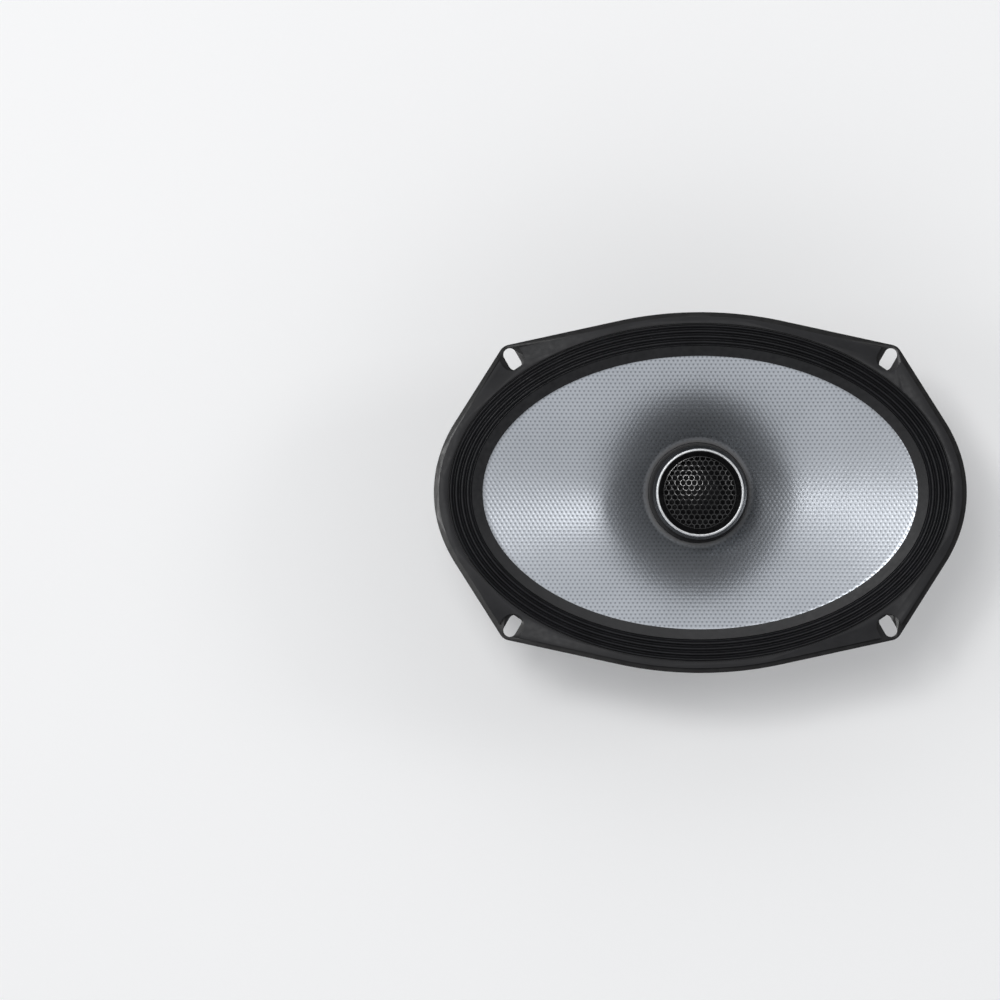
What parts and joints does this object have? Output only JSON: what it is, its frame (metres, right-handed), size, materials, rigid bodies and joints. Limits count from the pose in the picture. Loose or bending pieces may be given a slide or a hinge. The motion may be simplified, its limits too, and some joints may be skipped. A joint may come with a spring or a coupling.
{
  "type": "coaxial car speaker",
  "caption": "Oval 6x9 inch two-way coaxial car speaker: woven cone, rubber surround, dome tweeter on a post, ferrite motor, slotted flange, terminals and crossover capacitor.",
  "frame": {"origin": "centre of the back plate's rear face, at the lowest point of the speaker's axis", "axes": "+Z along the speaker's axis, out of the cone towards the listener; +X along the oval's long axis; +Y along its short axis"},
  "size_m": [0.2364, 0.16, 0.0784],
  "materials": {
    "basket_paint": "satin",
    "gasket_rubber": "satin",
    "surround_rubber": "matte",
    "woven_cone": "metallic weave, satin",
    "neck_rubber": "matte",
    "former_foil": "satin",
    "copper_wire": "varnished copper",
    "spider_cloth": "resin-treated cloth",
    "glue": "satin",
    "zinc_plate": "zinc plated",
    "ferrite": "satin",
    "black_plastic": "satin",
    "gloss_black": "gloss",
    "silver_trim": "polished",
    "grille_mesh": "satin",
    "dome_silk": "coated silk",
    "neodymium": "nickel plated",
    "tinned_brass": "tinned",
    "shrink_sleeve": "satin",
    "wound_foil": "gloss",
    "wire_jacket": "satin",
    "tinsel_braid": "braided"
  },
  "bodies": {
    "frame_body": {"basket": "basket_paint", "gasket_ring": "gasket_rubber", "surround": "surround_rubber", "spider": "spider_cloth", "basket_glue_bead": "glue", "top_plate": "zinc_plate", "ferrite_magnet": "ferrite", "yoke_and_pole": "zinc_plate", "tweeter_post": "black_plastic", "post_nut": "zinc_plate", "tweeter_housing": "gloss_black", "tweeter_bezel": "gloss_black", "tweeter_trim_ring": "silver_trim", "tweeter_grille": "grille_mesh", "tweeter_face_ring": "black_plastic", "tweeter_surround": "dome_silk", "tweeter_pole_plate": "zinc_plate", "tweeter_magnet": "neodymium", "tweeter_yoke": "zinc_plate", "terminal_board": "black_plastic", "terminal_rivets": "tinned_brass", "positive_blade": "tinned_brass", "negative_blade": "tinned_brass", "capacitor_sleeve": "shrink_sleeve", "capacitor_winding": "wound_foil", "cable_tie": "black_plastic", "capacitor_clip": "black_plastic", "capacitor_lead": "wire_jacket", "tweeter_lead_positive": "wire_jacket", "tweeter_lead_negative": "wire_jacket", "tinsel_lead_positive": "tinsel_braid", "tinsel_lead_negative": "tinsel_braid"},
    "cone_body": {"cone": "woven_cone", "cone_neck_ring": "neck_rubber", "voice_coil_former": "former_foil", "voice_coil_winding": "copper_wire", "lead_eyelets": "tinned_brass"},
    "dome_body": {"tweeter_dome": "dome_silk", "tweeter_coil_former": "former_foil", "tweeter_coil_winding": "copper_wire"}
  },
  "joints": [
    {"name": "cone_travel", "type": "slide", "parent": "frame_body", "child": "cone_body", "axis": [0, 0, 1], "range_m": [-0.005, 0.005], "stiffness_N_per_m": 3300, "deforming": ["surround", "spider", "tinsel_lead_positive", "tinsel_lead_negative"]},
    {"name": "tweeter_dome_travel", "type": "slide", "parent": "frame_body", "child": "dome_body", "axis": [0, 0, 1], "range_m": [-0.0003, 0.0003], "stiffness_N_per_m": 400, "deforming": ["tweeter_surround"]}
  ]
}
